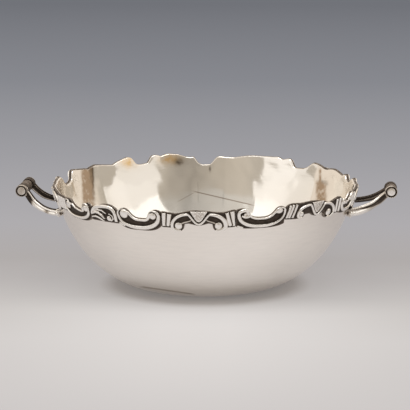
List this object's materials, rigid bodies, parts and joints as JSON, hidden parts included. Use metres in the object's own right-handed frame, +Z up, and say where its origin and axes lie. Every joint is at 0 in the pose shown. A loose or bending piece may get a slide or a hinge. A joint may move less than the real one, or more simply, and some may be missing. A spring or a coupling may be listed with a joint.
{
  "type": "two-handled bowl",
  "caption": "Low round silver bowl on a plain flat base, its sawn rim faced with cast scrolls, leaves and cartouches, with a twin-armed scroll handle at each side.",
  "frame": {"origin": "centre of the flat base, on the surface that the bowl stands on", "axes": "+Z up out of the bowl, +X through the right handle, -Y towards the front of the border"},
  "size_m": [0.2465, 0.199, 0.0704],
  "materials": {
    "bowl_silver": "polished sterling silver with fine rub marks, softer and satin outside",
    "border_silver": "cast sterling silver, polished on its high parts and dark in its hollows",
    "handle_silver": "cast sterling silver, polished on its ridges and dark in its flutes"
  },
  "bodies": {
    "root": {"bowl_body": "bowl_silver", "scroll_1": "border_silver", "leaf_1": "border_silver", "scroll_2": "border_silver", "cartouche_1": "border_silver", "scroll_3": "border_silver", "cartouche_2": "border_silver", "scroll_4": "border_silver", "cartouche_3": "border_silver", "scroll_5": "border_silver", "leaf_2": "border_silver", "scroll_6": "border_silver", "cartouche_4": "border_silver", "scroll_7": "border_silver", "leaf_3": "border_silver", "scroll_8": "border_silver", "cartouche_5": "border_silver", "scroll_9": "border_silver", "cartouche_6": "border_silver", "right_handle_front_arm": "handle_silver", "right_handle_rear_arm": "handle_silver", "right_handle_crossbar": "handle_silver", "left_handle_front_arm": "handle_silver", "left_handle_rear_arm": "handle_silver", "left_handle_crossbar": "handle_silver"}
  },
  "joints": []
}
